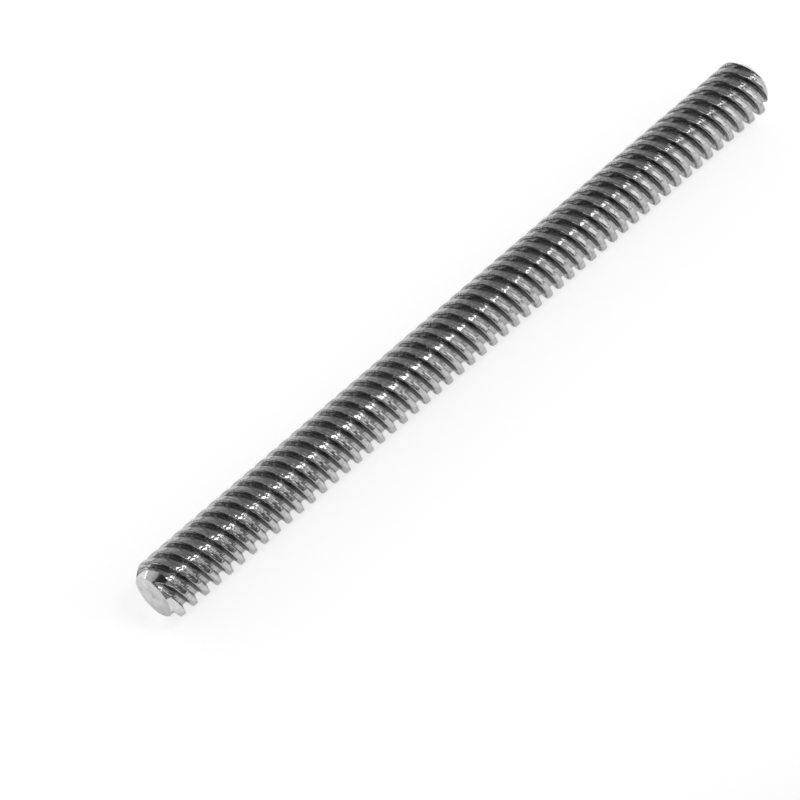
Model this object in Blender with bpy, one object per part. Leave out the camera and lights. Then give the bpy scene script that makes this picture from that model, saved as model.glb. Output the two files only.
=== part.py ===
"""Trapezoidal lead screw: one steel bar with a four-start right-hand thread rolled along its whole length.

The screw lies on its side along X, as it would come to rest. Its axis is half the major diameter above z = 0,
and the origin is under the middle of its length. The round form is cut in flat facets that touch the true
circle at their middles, so the size across the flats is the real one and one flat is on the ground.
"""

import math

import bmesh
import bpy
from mathutils import Matrix, Vector

MM = 0.001

# The bar
MAJOR_DIAMETER = 8.0 * MM
LENGTH = 107.0 * MM

# The thread, whose section along the axis is a trapezoid
PITCH = 2.0 * MM
STARTS = 4
THREAD_DEPTH = 1.0 * MM
RIDGE_WIDTH_AT_HALF_DEPTH = 1.08 * MM
FLANK_ANGLE = math.radians(30.0)

# Where the first ridge crosses the near end face, turned from +Y towards +Z
FIRST_RIDGE_ANGLE = math.radians(51.6)

# Each end is cut square and chamfered to just below the root of the thread, so that a nut starts easily
END_CHAMFER_DEPTH = 1.08 * MM
END_CHAMFER_ANGLE = math.radians(40.0)

# The small mark left by the lathe's centre in the near end face
CENTRE_MARK_DIAMETER = 0.6 * MM
CENTRE_MARK_DEPTH = 0.15 * MM

# Flats in one turn of the round form
FACETS = 24

STEEL_COLOUR = (0.53, 0.53, 0.53, 1.0)
STEEL_ROUGHNESS = 0.3

AXIS_HEIGHT = MAJOR_DIAMETER / 2.0
CREST_RADIUS = MAJOR_DIAMETER / 2.0
ROOT_RADIUS = CREST_RADIUS - THREAD_DEPTH
LEAD = PITCH * STARTS
FACET_ANGLE = math.tau / FACETS
MERGE_DISTANCE = 0.001 * MM


def remove_startup_objects():
    for item in list(bpy.data.objects):
        bpy.data.objects.remove(item, do_unlink=True)


def steel():
    material = bpy.data.materials.new("rolled_steel")
    material.use_nodes = True
    surface = material.node_tree.nodes["Principled BSDF"]
    surface.inputs["Base Color"].default_value = STEEL_COLOUR
    surface.inputs["Roughness"].default_value = STEEL_ROUGHNESS
    surface.inputs["Metallic"].default_value = 1.0
    return material


def thread_section():
    """One lead of the thread as (along the axis, from the axis) points: a trapezoid ridge for each start."""
    flank_width = THREAD_DEPTH * math.tan(FLANK_ANGLE / 2.0)
    half_crest = (RIDGE_WIDTH_AT_HALF_DEPTH - flank_width) / 2.0
    half_foot = (RIDGE_WIDTH_AT_HALF_DEPTH + flank_width) / 2.0
    points = []
    for start in range(STARTS):
        middle = start * PITCH
        points.append((middle - half_foot, ROOT_RADIUS))
        points.append((middle - half_crest, CREST_RADIUS))
        points.append((middle + half_crest, CREST_RADIUS))
        points.append((middle + half_foot, ROOT_RADIUS))
    points.append((LEAD - half_foot, ROOT_RADIUS))
    return points


def blank_outline():
    """Half the section of the blank, from the near face's middle to the far face's."""
    half = LENGTH / 2.0
    face_radius = CREST_RADIUS - END_CHAMFER_DEPTH
    blank_radius = CREST_RADIUS + THREAD_DEPTH
    chamfer_length = (blank_radius - face_radius) / math.tan(END_CHAMFER_ANGLE)
    return [
        (-half + CENTRE_MARK_DEPTH, 0.0),
        (-half, CENTRE_MARK_DIAMETER / 2.0),
        (-half, face_radius),
        (-half + chamfer_length, blank_radius),
        (half - chamfer_length, blank_radius),
        (half, face_radius),
        (half, 0.0),
    ]


def spin_outline(points, turns, advance):
    """Spin (along, from the axis) points about X with some advance in each turn, and join what meets.

    A facet's corner lies further out than its middle, so that the middles touch the true circle.
    """
    step = Vector((advance / FACETS, 0.0, 0.0))
    shape = bmesh.new()
    corners = []
    for along, radius in points:
        corners.append(shape.verts.new((along, radius / math.cos(FACET_ANGLE / 2.0), 0.0)))
    for one, other in zip(corners, corners[1:]):
        shape.edges.new((one, other))
    half_turn_of_facet = Matrix.Rotation(FACET_ANGLE / 2.0, 3, "X")
    bmesh.ops.rotate(shape, cent=Vector(), matrix=half_turn_of_facet, verts=corners)
    bmesh.ops.translate(shape, vec=step / 2.0, verts=corners)
    bmesh.ops.spin(
        shape,
        geom=shape.verts[:] + shape.edges[:],
        cent=Vector(),
        axis=Vector((1.0, 0.0, 0.0)),
        dvec=step,
        angle=turns * math.tau,
        steps=turns * FACETS,
    )
    bmesh.ops.remove_doubles(shape, verts=shape.verts[:], dist=MERGE_DISTANCE)
    return shape


def close_end(shape, edges):
    """Close one open end of the thread with a fan of triangles that meet at a point on the axis."""
    middle = sum(edge.verts[0].co.x for edge in edges) / len(edges)
    made = bmesh.ops.extrude_edge_only(shape, edges=edges)["geom"]
    tip = [item for item in made if isinstance(item, bmesh.types.BMVert)]
    bmesh.ops.pointmerge(shape, verts=tip, merge_co=Vector((middle, 0.0, 0.0)))


def object_on_axis(name, shape):
    """A new object from a shape built about X, lifted so that the screw rests on z = 0."""
    bmesh.ops.recalc_face_normals(shape, faces=shape.faces[:])
    mesh = bpy.data.meshes.new(name)
    shape.to_mesh(mesh)
    shape.free()
    item = bpy.data.objects.new(name, mesh)
    bpy.context.collection.objects.link(item)
    item.location.z = AXIS_HEIGHT
    return item


def add_thread():
    """The thread from well before the bar's near end to well past its far end."""
    turns_past_each_end = 2
    turns = math.ceil(LENGTH / LEAD) + 2 * turns_past_each_end
    first_ridge = -LENGTH / 2.0 - (turns_past_each_end + FIRST_RIDGE_ANGLE / math.tau) * LEAD
    section = [(first_ridge + along, radius) for along, radius in thread_section()]
    shape = spin_outline(section, turns, LEAD)
    open_edges = [edge for edge in shape.edges if edge.is_boundary]
    close_end(shape, [edge for edge in open_edges if edge.verts[0].co.x < 0.0])
    close_end(shape, [edge for edge in open_edges if edge.verts[0].co.x > 0.0])
    return object_on_axis("lead_screw", shape)


def add_blank():
    """The turned bar that the thread is cut to: wider than the crests, so it only shapes the two ends."""
    blank = object_on_axis("bar_blank", spin_outline(blank_outline(), 1, 0.0))
    blank.hide_render = True
    blank.display_type = "WIRE"
    return blank


def add_lead_screw():
    screw = add_thread()
    cut = screw.modifiers.new("cut_to_length", "BOOLEAN")
    cut.operation = "INTERSECT"
    cut.solver = "EXACT"
    cut.object = add_blank()
    screw.data.materials.append(steel())
    screw.data.shade_smooth()
    screw.data.set_sharp_from_angle(angle=FACET_ANGLE * 1.2)


remove_startup_objects()
add_lead_screw()
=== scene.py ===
import math

import bpy
from mathutils import Matrix, Vector


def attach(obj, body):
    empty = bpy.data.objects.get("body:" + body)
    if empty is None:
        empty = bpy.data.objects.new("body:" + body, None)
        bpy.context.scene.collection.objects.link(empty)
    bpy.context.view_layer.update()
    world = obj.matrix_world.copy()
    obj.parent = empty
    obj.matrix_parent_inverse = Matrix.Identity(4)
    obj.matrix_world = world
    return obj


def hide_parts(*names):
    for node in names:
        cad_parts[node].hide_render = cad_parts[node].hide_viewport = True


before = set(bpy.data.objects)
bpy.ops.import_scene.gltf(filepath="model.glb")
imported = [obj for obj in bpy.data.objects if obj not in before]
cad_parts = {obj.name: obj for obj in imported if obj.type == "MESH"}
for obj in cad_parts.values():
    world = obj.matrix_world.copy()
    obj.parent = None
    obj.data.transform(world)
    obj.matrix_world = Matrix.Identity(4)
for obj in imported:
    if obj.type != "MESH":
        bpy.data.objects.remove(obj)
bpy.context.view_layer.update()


# The lead screw. It is one bar of bright steel, and its four-start right-hand trapezoidal thread is rolled
# between two dies, which leaves the crests and flanks smooth and drawn along the helix. After rolling the bar
# is cut square, faced, chamfered a little deeper than the thread, and marked by the lathe's centre.

MM = 0.001
LENGTH = 107.0 * MM
CREST_RADIUS = 4.0 * MM
ROOT_RADIUS = 3.0 * MM
PITCH = 2.0 * MM
LEAD = 8.0 * MM
RIDGE_WIDTH = 1.08 * MM
FLANK_SLOPE = math.radians(15.0)
CREST_ROUNDING = 0.28 * MM
WORN_ROUNDING = 0.60 * MM
ROOT_ROUNDING = 0.50 * MM
FIRST_RIDGE = math.radians(51.6)
FACE_RADIUS = 2.92 * MM
CHAMFER_ANGLE = math.radians(40.0)
CENTRE_MARK_RADIUS = 0.3 * MM
CENTRE_MARK_DEPTH = 0.15 * MM
AXIS_HEIGHT = 4.0 * MM

# The fineness of the mesh, the bend that counts as a rim, and how near the cone a turned surface lies
COLUMNS_PER_RIDGE = 32
RINGS = 640
RINGS_IN_CHAMFER = 40
RIM_ANGLE = math.radians(27.0)
CUT_TOLERANCE = 0.02 * MM

STEEL = (0.62, 0.62, 0.62, 1.0)
STEEL_DULL = (0.38, 0.38, 0.375, 1.0)
TURNED_BRIGHT = (0.79, 0.79, 0.79, 1.0)
TURNED_DULL = (0.64, 0.64, 0.635, 1.0)
FACED_BRIGHT = (0.74, 0.74, 0.74, 1.0)
FACED_DULL = (0.58, 0.58, 0.575, 1.0)
# The dark film's colour: oil and dust, painted shade in the grooves, and the dirt at the middle of each end
FILM_AND_SHADE = (0.11, 0.109, 0.107, 1.0)


def add_node(tree, kind, inputs=None, **settings):
    """A node with its settings made, and each input set to a value or joined to a socket."""
    made = tree.nodes.new(kind)
    for name, value in settings.items():
        setattr(made, name, value)
    for name, value in (inputs or {}).items():
        if isinstance(value, bpy.types.NodeSocket):
            tree.links.new(value, made.inputs[name])
        else:
            made.inputs[name].default_value = value
    return made


def calc(tree, operation, *terms):
    """One step of arithmetic, on numbers or sockets."""
    return add_node(tree, "ShaderNodeMath", dict(enumerate(terms)), operation=operation).outputs[0]


def distance(tree, one, other):
    """How far a point lies from the axis, from its two places across it."""
    squares = calc(tree, "ADD", calc(tree, "MULTIPLY", one, one), calc(tree, "MULTIPLY", other, other))
    return calc(tree, "SQRT", squares)


def ramp(tree, value, start, end, low, high, smooth=False):
    """A number that goes from low to high as value goes from start to end, and stays there."""
    terms = {"Value": value, "From Min": start, "From Max": end, "To Min": low, "To Max": high}
    kind = "SMOOTHSTEP" if smooth else "LINEAR"
    return add_node(tree, "ShaderNodeMapRange", terms, interpolation_type=kind).outputs["Result"]


def split(tree, vector):
    """The X, Y and Z of a vector socket."""
    return add_node(tree, "ShaderNodeSeparateXYZ", {0: vector}).outputs


def moved(tree, vector, step):
    """A vector socket moved by a fixed step."""
    return add_node(tree, "ShaderNodeVectorMath", {0: vector, 1: step}, operation="ADD").outputs[0]


def in_millimetres(tree, vector):
    """A vector socket that is in metres, in millimetres."""
    terms = {0: vector, "Scale": 1.0 / MM}
    return add_node(tree, "ShaderNodeVectorMath", terms, operation="SCALE").outputs[0]


def shader_group(name, inputs, outputs):
    """A new shader node group with named sockets, and its two end nodes."""
    tree = bpy.data.node_groups.new(name, "ShaderNodeTree")
    for label, kind in inputs:
        tree.interface.new_socket(label, in_out="INPUT", socket_type=kind)
    for label, kind in outputs:
        tree.interface.new_socket(label, in_out="OUTPUT", socket_type=kind)
    return tree, tree.nodes.new("NodeGroupInput"), tree.nodes.new("NodeGroupOutput")


# How far the marks that the dies press drift round the bar in a millimetre along it
DRIFT_PER_MM = 0.015


def thread_place_group():
    """Where a point lies on the thread. Unwound, the helix runs straight along X. Folded, every ridge carries
    the same marks. Height goes from the root at 0 to the crest at 1. The first two are in millimetres."""
    tree, start, end = shader_group(
        "thread place",
        [("Position", "NodeSocketVector")],
        [("Unwound", "NodeSocketVector"), ("Folded", "NodeSocketVector"), ("Height", "NodeSocketFloat")],
    )
    centred = moved(tree, start.outputs["Position"], (LENGTH / 2.0, 0.0, -AXIS_HEIGHT))
    on_bar = split(tree, centred)
    turned = add_node(
        tree,
        "ShaderNodeVectorRotate",
        {"Vector": centred, "Angle": calc(tree, "MULTIPLY", on_bar["X"], -math.tau / LEAD)},
        rotation_type="X_AXIS",
    ).outputs[0]
    tree.links.new(in_millimetres(tree, turned), end.inputs["Unwound"])

    part = split(tree, turned)
    angle = calc(tree, "ARCTAN2", part["Z"], part["Y"])
    from_ridge = calc(tree, "MULTIPLY", calc(tree, "SUBTRACT", angle, FIRST_RIDGE), LEAD / math.tau)
    side = calc(tree, "SIGN", calc(tree, "WRAP", from_ridge, PITCH / 2.0, -PITCH / 2.0))
    aside = calc(tree, "PINGPONG", from_ridge, PITCH / 2.0)
    radius = distance(tree, part["Y"], part["Z"])
    tree.links.new(ramp(tree, radius, ROOT_RADIUS, CREST_RADIUS, 0.0, 1.0), end.inputs["Height"])

    # Folded: X goes round the bar from its top, and the profile from groove to groove is bent to a circle
    from_top = calc(tree, "ARCTAN2", calc(tree, "MULTIPLY", on_bar["Y"], -1.0), on_bar["Z"])
    round_bar = calc(tree, "MULTIPLY", from_top, CREST_RADIUS / MM)
    drift = calc(tree, "MULTIPLY", on_bar["X"], DRIFT_PER_MM / MM)
    down = calc(tree, "SUBTRACT", CREST_RADIUS, radius)
    half_fold = PITCH / 2.0 + CREST_RADIUS - ROOT_RADIUS
    phase = calc(tree, "MULTIPLY", calc(tree, "ADD", aside, down), math.pi / half_fold)
    fold_radius = half_fold / math.pi / MM
    folded = add_node(
        tree,
        "ShaderNodeCombineXYZ",
        {
            0: calc(tree, "ADD", round_bar, drift),
            1: calc(tree, "MULTIPLY", calc(tree, "COSINE", phase), fold_radius),
            2: calc(tree, "MULTIPLY", calc(tree, "MULTIPLY", calc(tree, "SINE", phase), side), fold_radius),
        },
    )
    tree.links.new(folded.outputs[0], end.inputs["Folded"])
    return tree


def drawn_lines_group():
    """Fine lines of one width, drawn out along X, from 0 to 1 about a middle of 0.5."""
    tree, start, end = shader_group(
        "drawn lines",
        [("Vector", "NodeSocketVector"), ("Width", "NodeSocketFloat"), ("Stretch", "NodeSocketFloat")],
        [("Lines", "NodeSocketFloat")],
    )
    shorter = calc(tree, "DIVIDE", 1.0, start.outputs["Stretch"])
    squeeze = add_node(tree, "ShaderNodeCombineXYZ", {0: shorter, 1: 1.0, 2: 1.0})
    drawn = add_node(
        tree,
        "ShaderNodeVectorMath",
        {0: start.outputs["Vector"], 1: squeeze.outputs[0]},
        operation="MULTIPLY",
    )
    lines_per_mm = calc(tree, "DIVIDE", 1.0, start.outputs["Width"])
    lines = add_node(
        tree,
        "ShaderNodeTexNoise",
        {"Vector": drawn.outputs[0], "Scale": lines_per_mm, "Detail": 3.0, "Roughness": 0.55},
    )
    tree.links.new(lines.outputs[0], end.inputs["Lines"])
    return tree


thread_place = thread_place_group()
drawn_lines = drawn_lines_group()


def new_material(name):
    """A material with its node tree, its Principled node and its Object coordinates."""
    material = bpy.data.materials.new(name)
    material.use_nodes = True
    tree = material.node_tree
    surface = tree.nodes["Principled BSDF"]
    place = tree.nodes.new("ShaderNodeTexCoord").outputs["Object"]
    return material, tree, surface, place


def blend(tree, factor, one, other):
    """A colour between two, each a value or a socket."""
    return add_node(tree, "ShaderNodeMix", {"Factor": factor, 6: one, 7: other}, data_type="RGBA").outputs[2]


def lines_along(tree, vector, width, stretch):
    """The drawn lines of one kind in a material."""
    terms = {"Vector": vector, "Width": width, "Stretch": stretch}
    return add_node(tree, "ShaderNodeGroup", terms, node_tree=drawn_lines).outputs["Lines"]


def noise(tree, vector, per_unit, detail, roughness=0.5):
    """Soft blotches from 0 to 1 about a middle of 0.5, so many to the unit of the vector."""
    terms = {"Vector": vector, "Scale": per_unit, "Detail": detail, "Roughness": roughness}
    return add_node(tree, "ShaderNodeTexNoise", terms).outputs[0]


# The marks on the rolled steel: how many mm wide and how many times longer the lines are, and how many of the
# others there are in a mm
PRESSED_LINE_WIDTH = 0.24
PRESSED_LINE_STRETCH = 16.0
SCRATCH_WIDTH = 0.62
SCRATCH_STRETCH = 1.6
DENTS_PER_MM = 2.1
STAINS_PER_MM = 1.5
PITS_PER_MM = 2.3

# How much each kind of mark counts in the steel's tone and in its relief, and how deep the relief is
SCRATCH_SHARE = 0.30
PRESSED_IN_TONE = 0.45
PITS_IN_TONE = 0.25
PRESSED_IN_RELIEF = 0.6
DENTS_IN_RELIEF = 0.35
PITS_IN_RELIEF = 2.7
RELIEF_DEPTH = 0.017 * MM

# Where the dark film and its stains lie, in heights from the root at 0 to the crest at 1, which levels of the
# marks draw their edges, and how much they cover. The film is oil and dust, and also painted shade that
# darkens the flanks of the grooves
FILM_WORN_OFF = 0.95
FILM_FULL = (0.20, 0.75)
FILM_THIN = 0.03
FILM_LEFT_IN_ROOT = 0.25
FILM_EDGE = (0.50, 0.53)
FILM_COVER = 0.90
STAIN_HEIGHT = (0.80, 0.98)
STAIN_EDGE = (0.60, 0.70)
STAIN_COVER = 0.5

# How rough the rolled steel is from its dull tone to its bright one, and what the film and the root add
STEEL_ROUGHNESS = (0.09, 0.17)
FILM_ROUGHNESS = 0.20
ROOT_ROUGHNESS = 0.05


def rolled_steel():
    """The rolled surface: burnished crests, and drawn flanks under a dark film of oil, dust and painted
    shade.
    """
    material, tree, surface, place = new_material("rolled_steel_thread")
    thread = add_node(tree, "ShaderNodeGroup", {"Position": place}, node_tree=thread_place).outputs
    height = thread["Height"]

    # The dies press the same lines and pits into every ridge. The scratches, dents and stains are its own.
    pressed = lines_along(tree, thread["Folded"], PRESSED_LINE_WIDTH, PRESSED_LINE_STRETCH)
    pits = noise(tree, thread["Folded"], PITS_PER_MM, detail=0.6)
    scratches = lines_along(tree, thread["Unwound"], SCRATCH_WIDTH, SCRATCH_STRETCH)
    on_steel = in_millimetres(tree, place)
    dents = noise(tree, on_steel, DENTS_PER_MM, detail=2.0)
    stains = noise(tree, on_steel, STAINS_PER_MM, detail=3.0, roughness=0.6)

    # The film keeps to the flanks, in patches that follow the pressed lines, and spots of it stain the
    # crests. On the flanks it is oil and dust and painted shade, which darkens the grooves.
    low = calc(
        tree,
        "MULTIPLY",
        ramp(tree, height, FILM_WORN_OFF, FILM_FULL[1], 0.0, 1.0, smooth=True),
        ramp(tree, height, FILM_THIN, FILM_FULL[0], FILM_LEFT_IN_ROOT, 1.0, smooth=True),
    )
    film_and_painted_shade = calc(tree, "MULTIPLY", low, ramp(tree, pressed, *FILM_EDGE, 0.0, FILM_COVER, smooth=True))
    on_crest = ramp(tree, height, *STAIN_HEIGHT, 0.0, 1.0, smooth=True)
    stain = calc(tree, "MULTIPLY", on_crest, ramp(tree, stains, *STAIN_EDGE, 0.0, STAIN_COVER, smooth=True))

    faint_scratches = calc(tree, "MULTIPLY", scratches, SCRATCH_SHARE)
    tone = calc(tree, "MULTIPLY_ADD", pressed, PRESSED_IN_TONE, faint_scratches)
    tone = calc(tree, "MULTIPLY_ADD", pits, PITS_IN_TONE, tone)
    steel = blend(tree, ramp(tree, tone, 0.42, 0.57, 0.0, 1.0), STEEL_DULL, STEEL)
    # The steel darkens under the film's oil, dust and painted shade, and under the crests' stains
    colour = blend(tree, calc(tree, "MAXIMUM", film_and_painted_shade, stain), steel, FILM_AND_SHADE)
    tree.links.new(colour, surface.inputs["Base Color"])

    rough = ramp(tree, tone, 0.35, 0.65, *STEEL_ROUGHNESS)
    rough = calc(tree, "ADD", rough, calc(tree, "MULTIPLY", film_and_painted_shade, FILM_ROUGHNESS))
    rough = calc(tree, "ADD", rough, ramp(tree, height, 0.02, 0.22, ROOT_ROUGHNESS, 0.0))
    tree.links.new(rough, surface.inputs["Roughness"])
    surface.inputs["Metallic"].default_value = 1.0

    relief = calc(tree, "MULTIPLY_ADD", pressed, PRESSED_IN_RELIEF, faint_scratches)
    relief = calc(tree, "MULTIPLY_ADD", dents, DENTS_IN_RELIEF, relief)
    relief = calc(tree, "MULTIPLY_ADD", pits, PITS_IN_RELIEF, relief)
    bump = add_node(tree, "ShaderNodeBump", {"Height": relief, "Distance": RELIEF_DEPTH, "Strength": 1.0})
    tree.links.new(bump.outputs[0], surface.inputs["Normal"])
    return material


# The turned ends: how many clouds there are in a mm, how much the tool's rings and the clouds count, how far
# the roughness varies, and the dirt left at the middle with the radii in mm between which it ends
CLOUDS_PER_MM = 1.1
RINGS_IN_CUT = 0.4
CLOUDS_IN_CUT = 0.6
CUT_ROUGHNESS_SPREAD = 0.08
MIDDLE_DIRT = 0.22
MIDDLE_DIRT_EDGE = (0.55, 1.10)


def turned_steel(name, bright, dull, roughness, spacing, depth):
    """A faced or chamfered end: the tool's rings about the axis, spaced in mm, and clouds left by the cut."""
    material, tree, surface, place = new_material(name)
    centred = moved(tree, place, (0.0, 0.0, -AXIS_HEIGHT))
    part = split(tree, centred)
    radius = calc(tree, "DIVIDE", distance(tree, part["Y"], part["Z"]), MM)
    clouds = noise(tree, centred, CLOUDS_PER_MM / MM, detail=3.0, roughness=0.6)
    rings = add_node(
        tree,
        "ShaderNodeTexNoise",
        {"W": calc(tree, "DIVIDE", radius, spacing), "Scale": 1.0, "Detail": 2.0},
        noise_dimensions="1D",
    )
    tone = calc(tree, "MULTIPLY", clouds, CLOUDS_IN_CUT)
    tone = calc(tree, "MULTIPLY_ADD", rings.outputs[0], RINGS_IN_CUT, tone)
    turned = blend(tree, ramp(tree, tone, 0.40, 0.60, 0.0, 1.0), dull, bright)
    ragged_radius = calc(tree, "ADD", radius, clouds)
    dirt = ramp(tree, ragged_radius, *MIDDLE_DIRT_EDGE, MIDDLE_DIRT, 0.0, smooth=True)
    tree.links.new(blend(tree, dirt, turned, FILM_AND_SHADE), surface.inputs["Base Color"])
    spread = CUT_ROUGHNESS_SPREAD
    rough = ramp(tree, tone, 0.30, 0.70, roughness + spread, roughness - spread)
    tree.links.new(rough, surface.inputs["Roughness"])
    surface.inputs["Metallic"].default_value = 1.0
    bump = add_node(tree, "ShaderNodeBump", {"Height": tone, "Distance": depth, "Strength": 1.0})
    tree.links.new(bump.outputs[0], surface.inputs["Normal"])
    return material


rolled = rolled_steel()
chamfered = turned_steel(
    "turned_chamfer", TURNED_BRIGHT, TURNED_DULL, roughness=0.11, spacing=0.06, depth=0.004 * MM
)
faced = turned_steel("faced_end", FACED_BRIGHT, FACED_DULL, roughness=0.42, spacing=0.09, depth=0.008 * MM)

screw_sizes = {
    "Length": LENGTH,
    "Crest Radius": CREST_RADIUS,
    "Root Radius": ROOT_RADIUS,
    "Pitch": PITCH,
    "Lead": LEAD,
    "Ridge Width": RIDGE_WIDTH,
    "Flank Slope": FLANK_SLOPE,
    "Crest Rounding": CREST_ROUNDING,
    "Worn Rounding": WORN_ROUNDING,
    "Root Rounding": ROOT_ROUNDING,
    "First Ridge": FIRST_RIDGE,
    "Face Radius": FACE_RADIUS,
    "Chamfer Angle": CHAMFER_ANGLE,
    "Centre Mark Radius": CENTRE_MARK_RADIUS,
    "Centre Mark Depth": CENTRE_MARK_DEPTH,
    "Axis Height": AXIS_HEIGHT,
}


def rolled_bar_tree():
    """The bar as a fine closed cylinder, whose rings are set along the axis, wound to the helix and pressed
    to the thread's profile, and then held inside the turned outline of the two ends."""
    tree = bpy.data.node_groups.new("rolled lead screw", "GeometryNodeTree")
    for name in screw_sizes:
        tree.interface.new_socket(name, in_out="INPUT", socket_type="NodeSocketFloat")
    tree.interface.new_socket("Screw", in_out="OUTPUT", socket_type="NodeSocketGeometry")
    size = tree.nodes.new("NodeGroupInput").outputs
    end = tree.nodes.new("NodeGroupOutput")
    ridges = round(LEAD / PITCH)

    bar = add_node(
        tree,
        "GeometryNodeMeshCylinder",
        {
            "Vertices": ridges * COLUMNS_PER_RIDGE,
            "Side Segments": RINGS,
            "Fill Segments": 2,
            "Radius": 1.0,
            "Depth": 2.0,
        },
        fill_type="TRIANGLE_FAN",
    )
    at = split(tree, tree.nodes.new("GeometryNodeInputPosition").outputs[0])

    # How far each ring lies from the nearer end: close together in the chamfer, even between the chamfers
    half = calc(tree, "MULTIPLY", size["Length"], 0.5)
    inward = calc(tree, "SUBTRACT", 1.0, calc(tree, "ABSOLUTE", at["Z"]))
    steep = calc(tree, "TANGENT", size["Chamfer Angle"])
    chamfer = calc(tree, "DIVIDE", calc(tree, "SUBTRACT", size["Crest Radius"], size["Face Radius"]), steep)
    share = RINGS_IN_CHAMFER * 2.0 / RINGS
    in_chamfer = calc(tree, "MULTIPLY", inward, calc(tree, "DIVIDE", chamfer, share))
    gap = calc(tree, "DIVIDE", calc(tree, "SUBTRACT", half, chamfer), 1.0 - share)
    between = calc(tree, "MULTIPLY_ADD", calc(tree, "SUBTRACT", inward, share), gap, chamfer)
    from_end = calc(tree, "MAXIMUM", in_chamfer, between)
    along = calc(tree, "MULTIPLY", calc(tree, "SIGN", at["Z"]), calc(tree, "SUBTRACT", half, from_end))

    # Each column keeps its place across a ridge all along the helix, and the columns crowd at the corners
    column = calc(tree, "DIVIDE", calc(tree, "ARCTAN2", at["Y"], at["X"]), math.tau / ridges)
    column = calc(tree, "ADD", column, 0.5 / COLUMNS_PER_RIDGE)
    side = calc(tree, "MULTIPLY_ADD", calc(tree, "FRACT", column), 2.0, -1.0)
    crowd = add_node(tree, "ShaderNodeFloatCurve", {"Value": calc(tree, "ABSOLUTE", side)})
    for share_of_columns, share_across in ((0.25, 0.335), (0.5, 0.465), (0.625, 0.60), (0.875, 0.765)):
        crowd.mapping.curves[0].points.new(share_of_columns, share_across)
    for point in crowd.mapping.curves[0].points:
        point.handle_type = "VECTOR"
    crowd.mapping.update()
    from_middle = calc(tree, "MULTIPLY", crowd.outputs[0], calc(tree, "MULTIPLY", size["Pitch"], 0.5))
    offset = calc(tree, "MULTIPLY", from_middle, calc(tree, "SIGN", side))
    whole = calc(tree, "MULTIPLY", calc(tree, "FLOOR", column), size["Pitch"])
    helix = calc(tree, "ADD", calc(tree, "ADD", whole, offset), calc(tree, "ADD", along, half))
    turns = calc(tree, "DIVIDE", helix, size["Lead"])
    turn = calc(tree, "MULTIPLY_ADD", turns, math.tau, size["First Ridge"])

    # The profile is a flat crest, straight flanks and a flat root. The rolls leave its corners and its root
    # rounded, one corner of each ridge more than the other.
    middle_radius = calc(tree, "MULTIPLY", calc(tree, "ADD", size["Crest Radius"], size["Root Radius"]), 0.5)
    short = calc(tree, "SUBTRACT", calc(tree, "MULTIPLY", size["Ridge Width"], 0.5), from_middle)
    rise = calc(tree, "DIVIDE", short, calc(tree, "TANGENT", size["Flank Slope"]))
    flank = calc(tree, "ADD", middle_radius, rise)
    worn = calc(tree, "GREATER_THAN", side, 0.0)
    more = calc(tree, "SUBTRACT", size["Worn Rounding"], size["Crest Rounding"])
    corner = calc(tree, "MULTIPLY_ADD", worn, more, size["Crest Rounding"])
    pressed = calc(tree, "SMOOTH_MIN", flank, size["Crest Radius"], corner)
    pressed = calc(tree, "SMOOTH_MAX", pressed, size["Root Radius"], size["Root Rounding"])
    turned = calc(tree, "MULTIPLY_ADD", from_end, steep, size["Face Radius"])

    # Each cap of the cylinder has its rim at 1, a ring at a half and its tip at 0. The ring becomes the edge
    # of the centre mark, and the near end's tip sinks to make it.
    from_axis = distance(tree, at["X"], at["Y"])
    on_rim = calc(tree, "GREATER_THAN", from_axis, 0.75)
    in_mark = calc(tree, "MULTIPLY", calc(tree, "MULTIPLY", from_axis, 2.0), size["Centre Mark Radius"])
    outer = calc(tree, "MINIMUM", pressed, turned)
    radius = calc(tree, "MULTIPLY_ADD", on_rim, calc(tree, "SUBTRACT", outer, in_mark), in_mark)
    at_tip = calc(tree, "LESS_THAN", from_axis, 0.25)
    at_near_tip = calc(tree, "MULTIPLY", at_tip, calc(tree, "LESS_THAN", at["Z"], 0.0))
    placed = add_node(
        tree,
        "ShaderNodeCombineXYZ",
        {
            "X": calc(tree, "MULTIPLY_ADD", at_near_tip, size["Centre Mark Depth"], along),
            "Y": calc(tree, "MULTIPLY", radius, calc(tree, "COSINE", turn)),
            "Z": calc(tree, "MULTIPLY_ADD", radius, calc(tree, "SINE", turn), size["Axis Height"]),
        },
    )
    pressed_bar = add_node(
        tree,
        "GeometryNodeSetPosition",
        {"Geometry": bar.outputs["Mesh"], "Position": placed.outputs[0]},
    )

    # Smooth all over but for the rims that the cutting tools leave
    bend = tree.nodes.new("GeometryNodeInputMeshEdgeAngle").outputs["Unsigned Angle"]
    rims = calc(tree, "GREATER_THAN", bend, RIM_ANGLE)
    smooth = add_node(
        tree,
        "GeometryNodeSetShadeSmooth",
        {"Geometry": pressed_bar.outputs[0], "Shade Smooth": True},
    )
    crisp = add_node(
        tree,
        "GeometryNodeSetShadeSmooth",
        {"Geometry": smooth.outputs[0], "Selection": rims, "Shade Smooth": False},
        domain="EDGE",
    )

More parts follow.
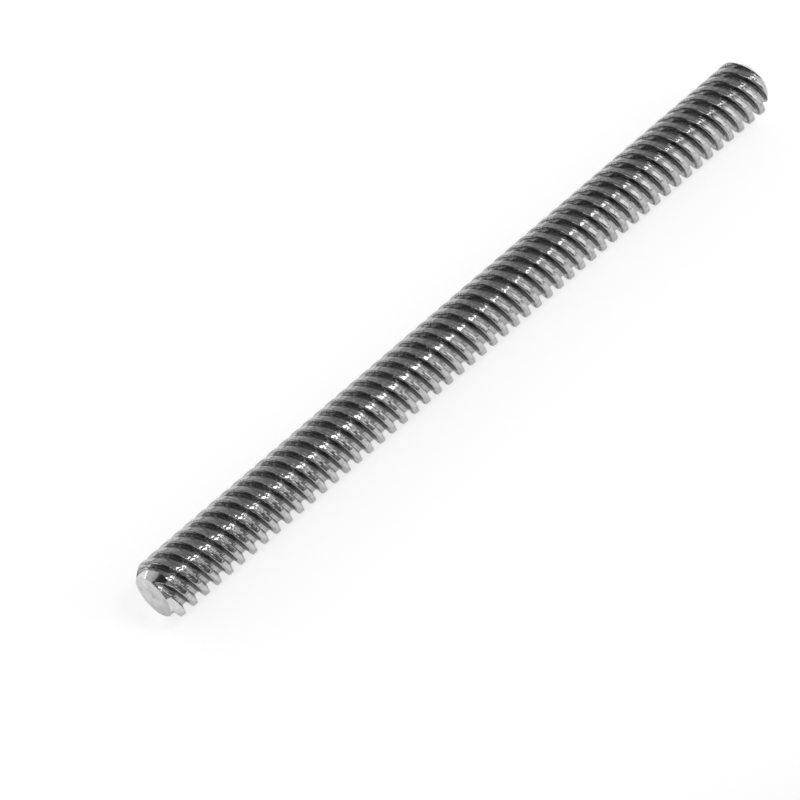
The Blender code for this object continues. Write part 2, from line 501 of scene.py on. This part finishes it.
    # What each tool has touched
    now = split(tree, tree.nodes.new("GeometryNodeInputPosition").outputs[0])
    reach = distance(tree, now["Y"], calc(tree, "SUBTRACT", now["Z"], size["Axis Height"]))
    depth = calc(tree, "SUBTRACT", half, calc(tree, "ABSOLUTE", now["X"]))
    cone = calc(tree, "MULTIPLY_ADD", depth, steep, size["Face Radius"])
    by_tool = calc(
        tree,
        "MULTIPLY",
        calc(tree, "GREATER_THAN", reach, calc(tree, "SUBTRACT", cone, CUT_TOLERANCE)),
        calc(tree, "LESS_THAN", depth, chamfer),
    )
    faces = calc(tree, "MAXIMUM", bar.outputs["Top"], bar.outputs["Bottom"])
    real = add_node(tree, "GeometryNodeRealizeInstances", {"Geometry": crisp.outputs[0]})
    coat = add_node(tree, "GeometryNodeSetMaterial", {"Geometry": real.outputs[0], "Material": rolled})
    for touched, material in ((by_tool, chamfered), (faces, faced)):
        coat = add_node(
            tree,
            "GeometryNodeSetMaterial",
            {"Geometry": coat.outputs[0], "Selection": touched, "Material": material},
        )
    tree.links.new(coat.outputs[0], end.inputs["Screw"])
    return tree


threaded_bar = bpy.data.objects.new("threaded_bar", bpy.data.meshes.new("threaded_bar"))
bpy.context.scene.collection.objects.link(threaded_bar)
rolling = threaded_bar.modifiers.new("rolling", "NODES")
rolling.node_group = rolled_bar_tree()
for item in rolling.node_group.interface.items_tree:
    if item.name in screw_sizes:
        rolling[item.identifier] = screw_sizes[item.name]
evaluated = threaded_bar.evaluated_get(bpy.context.evaluated_depsgraph_get())
finished = bpy.data.meshes.new_from_object(evaluated)
threaded_bar.modifiers.remove(rolling)
threaded_bar.data = finished
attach(threaded_bar, "root")
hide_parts("lead_screw")


# The floor that the screw lies on: a wide sheet of matt white board that runs past the view on every side.
# The camera sees it lifted to white, with a faint shadow. The metal mirrors it white too, but close under the
# screw a painted shadow makes it grey, where the board lies in the screw's shade.

FLOOR_HALF = 3.0
BOARD_WHITE = (0.94, 0.94, 0.94, 1.0)
FIBRES_PER_MM = 0.9
LIFT_TO_WHITE = 0.65
MIRRORED_REACH = 10.0 * MM
MIRRORED_IN_FRONT = 0.84
MIRRORED_BEHIND = 0.92
MIRRORED_PAINTED_SHADOW = ((0.175, 0.82), (0.30, 0.50), (0.46, 0.50), (0.60, 0.92))


def staged_sheet(name, corners):
    """A flat sheet of four corners that stands round the screw."""
    mesh = bpy.data.meshes.new(name)
    mesh.from_pydata(corners, [], [(0, 1, 2, 3)])
    sheet = bpy.data.objects.new(name, mesh)
    bpy.context.scene.collection.objects.link(sheet)
    return sheet


def grey(level):
    """A colour without a tint."""
    return (level, level, level, 1.0)


def grey_levels(tree, place, first, last, between):
    """A grey that goes from first to last as place goes from 0 to 1, through the spots between."""
    made = add_node(tree, "ShaderNodeValToRGB", {"Fac": place})
    made.color_ramp.elements[0].color = grey(first)
    made.color_ramp.elements[1].color = grey(last)
    for spot, level in between:
        made.color_ramp.elements.new(spot).color = grey(level)
    return made.outputs["Color"]


floor_corners = [(x * FLOOR_HALF, y * FLOOR_HALF, 0.0) for x, y in ((-1, -1), (1, -1), (1, 1), (-1, 1))]
floor = staged_sheet("floor", floor_corners)
board, board_tree, board_surface, board_place = new_material("white_board")
fibres = noise(board_tree, board_place, FIBRES_PER_MM / MM, detail=3.0)
board_rough = ramp(board_tree, fibres, 0.3, 0.7, 0.85, 0.95)
board_tree.links.new(board_rough, board_surface.inputs["Roughness"])
board_surface.inputs["Base Color"].default_value = BOARD_WHITE
board_surface.inputs["Specular IOR Level"].default_value = 0.1
seen = board_tree.nodes.new("ShaderNodeLightPath").outputs
in_metal = calc(board_tree, "MAXIMUM", seen["Is Glossy Ray"], seen["Is Transmission Ray"])
across_board = split(board_tree, board_place)["Y"]
beside_screw = ramp(board_tree, across_board, -MIRRORED_REACH, MIRRORED_REACH, 0.0, 1.0)
# The level that the metal mirrors, with the painted shadow close under the screw
mirrored_level = grey_levels(board_tree, beside_screw, MIRRORED_IN_FRONT, MIRRORED_BEHIND, MIRRORED_PAINTED_SHADOW)
white = add_node(board_tree, "ShaderNodeEmission", {"Color": grey(1.0), "Strength": 1.0})
mirrored_share = calc(board_tree, "MULTIPLY", in_metal, mirrored_level)
mirrored = add_node(
    board_tree,
    "ShaderNodeMixShader",
    {0: mirrored_share, 1: board_surface.outputs[0], 2: white.outputs[0]},
)
lift = calc(board_tree, "MULTIPLY", seen["Is Camera Ray"], LIFT_TO_WHITE)
glow = add_node(board_tree, "ShaderNodeEmission", {"Color": grey(1.0), "Strength": lift})
shown = add_node(board_tree, "ShaderNodeAddShader", {0: mirrored.outputs[0], 1: glow.outputs[0]})
board_tree.links.new(shown.outputs[0], board_tree.nodes["Material Output"].inputs["Surface"])
floor.data.materials.append(board)


# The light: soft boxes and pale cards, which the steel mirrors. Two strips hang high in front and draw the
# row of glints along the crests, and two large cards stand upright beyond them. A lamp, a dim card and a low
# bright strip stand round the near end.

MIDDLE = (0.0, 0.0, 0.0)


def soft_light(name, place, towards, length, width, level, lie=None):
    """A soft box of that size whose face shows that level, with its length kept level or laid along lie."""
    lamp = bpy.data.lights.new(name, "AREA")
    lamp.shape = "RECTANGLE"
    lamp.size = length
    lamp.size_y = width
    lamp.energy = level * math.pi * length * width
    holder = bpy.data.objects.new(name, lamp)
    bpy.context.scene.collection.objects.link(holder)
    aim = (Vector(towards) - Vector(place)).normalized()
    lengthwise = Vector(lie) if lie else aim.cross(Vector((0.0, 0.0, 1.0)))
    lengthwise = (lengthwise - aim * lengthwise.dot(aim)).normalized()
    turn = Matrix((lengthwise, lengthwise.cross(aim), -aim)).transposed()
    holder.matrix_world = Matrix.Translation(place) @ turn.to_4x4()
    holder.visible_camera = False
    return holder


soft_light("strip_light", (0.31, -0.295, 1.0), (0.31, 0.0, 0.0), length=0.22, width=0.15, level=5.2)
soft_light("strip_end", (0.56, -0.295, 1.0), (0.56, 0.0, 0.0), length=0.28, width=0.11, level=3.2)
soft_light("fill_lamp", (-0.70, -0.28, 0.65), MIDDLE, length=0.35, width=0.14, level=2.2, lie=(1.0, 0.0, 0.0))
soft_light("top_card", (0.80, -0.80, 1.32), (0.80, 0.0, 1.32), length=0.76, width=0.60, level=0.50)
soft_light("side_card", (0.81, -0.80, 0.53), (0.81, 0.0, 0.53), length=0.78, width=0.94, level=1.0)
soft_light("back_card", (-0.656, 0.703, 0.276), MIDDLE, length=0.72, width=0.53, level=0.22)
soft_light("low_strip", (-0.55, 0.83, 0.062), MIDDLE, length=0.24, width=0.025, level=4.5)


# The flag: a low upright sheet of dark cloth in front of the near end, out of the camera's sight. The first
# ridges mirror it as a narrow dark band between the room and the floor.

FLAG_START = -0.14
FLAG_END = 0.0
FLAG_SIDE = -0.085
FLAG_HEIGHT = 0.02
CLOTH_DARK = (0.20, 0.20, 0.20, 1.0)

flag_corners = [
    (FLAG_START, FLAG_SIDE, 0.0),
    (FLAG_END, FLAG_SIDE, 0.0),
    (FLAG_END, FLAG_SIDE, FLAG_HEIGHT),
    (FLAG_START, FLAG_SIDE, FLAG_HEIGHT),
]
flag = staged_sheet("dark_flag", flag_corners)
cloth, _, cloth_surface, _ = new_material("black_cloth")
cloth_surface.inputs["Base Color"].default_value = CLOTH_DARK
cloth_surface.inputs["Roughness"].default_value = 0.95
flag.data.materials.append(cloth)
flag.visible_camera = False


# The room round it all, as the metal mirrors it: grey, darkest in front of the screw and palest behind it,
# with a dark doorway beyond the near end. To the camera it is as white as the floor.

ROOM_IN_FRONT = 0.20
ROOM_BEHIND = 0.52
ROOM_BETWEEN = ((0.05, 0.16), (0.10, 0.17), (0.20, 0.23), (0.45, 0.27), (0.75, 0.27), (0.91, 0.45))
DOORWAY_EDGE_X = (-0.79, -0.77)
DOORWAY_EDGE_Y = (-0.16, -0.08)
DOORWAY_STRENGTH = 0.10
WHITE_TO_CAMERA = 0.98

room = bpy.data.worlds.new("pale_room")
bpy.context.scene.world = room
room.use_nodes = True
room_tree = room.node_tree
walls = room_tree.nodes["Background"]
aims = split(room_tree, room_tree.nodes.new("ShaderNodeTexCoord").outputs["Generated"])
front_to_back = ramp(room_tree, aims["Y"], -1.0, 1.0, 0.0, 1.0)
room_level = grey_levels(room_tree, front_to_back, ROOM_IN_FRONT, ROOM_BEHIND, ROOM_BETWEEN)
room_tree.links.new(room_level, walls.inputs["Color"])
doorway = calc(
    room_tree,
    "MULTIPLY",
    ramp(room_tree, aims["X"], *DOORWAY_EDGE_X, 1.0, 0.0),
    ramp(room_tree, aims["Y"], *DOORWAY_EDGE_Y, 0.0, 1.0),
)
room_tree.links.new(ramp(room_tree, doorway, 0.0, 1.0, 1.0, DOORWAY_STRENGTH), walls.inputs["Strength"])
beyond = add_node(room_tree, "ShaderNodeBackground", {"Color": grey(1.0), "Strength": WHITE_TO_CAMERA})
to_camera = room_tree.nodes.new("ShaderNodeLightPath").outputs["Is Camera Ray"]
all_round = add_node(
    room_tree,
    "ShaderNodeMixShader",
    {0: to_camera, 1: walls.outputs[0], 2: beyond.outputs[0]},
)
room_tree.links.new(all_round.outputs[0], room_tree.nodes["World Output"].inputs["Surface"])


# The camera, above and in front of the near end, and turned along the screw as in the photograph. Its long
# lens keeps the far end nearly as large as the near one.

CAMERA_PLACE = (-0.231524, -0.210468, 0.445501)
CAMERA_AZIMUTH = math.radians(-46.2888)
CAMERA_ELEVATION = math.radians(55.6040)

camera_data = bpy.data.cameras.new("camera")
camera_data.sensor_width = 36.0
camera_data.lens = 197.99
camera_data.clip_start = 0.01
camera_data.clip_end = 20.0
camera = bpy.data.objects.new("camera", camera_data)
bpy.context.scene.collection.objects.link(camera)
camera.rotation_euler = (math.pi / 2.0 - CAMERA_ELEVATION, 0.0, CAMERA_AZIMUTH)
camera.location = CAMERA_PLACE
bpy.context.scene.camera = camera
bpy.context.scene.view_settings.view_transform = "Standard"
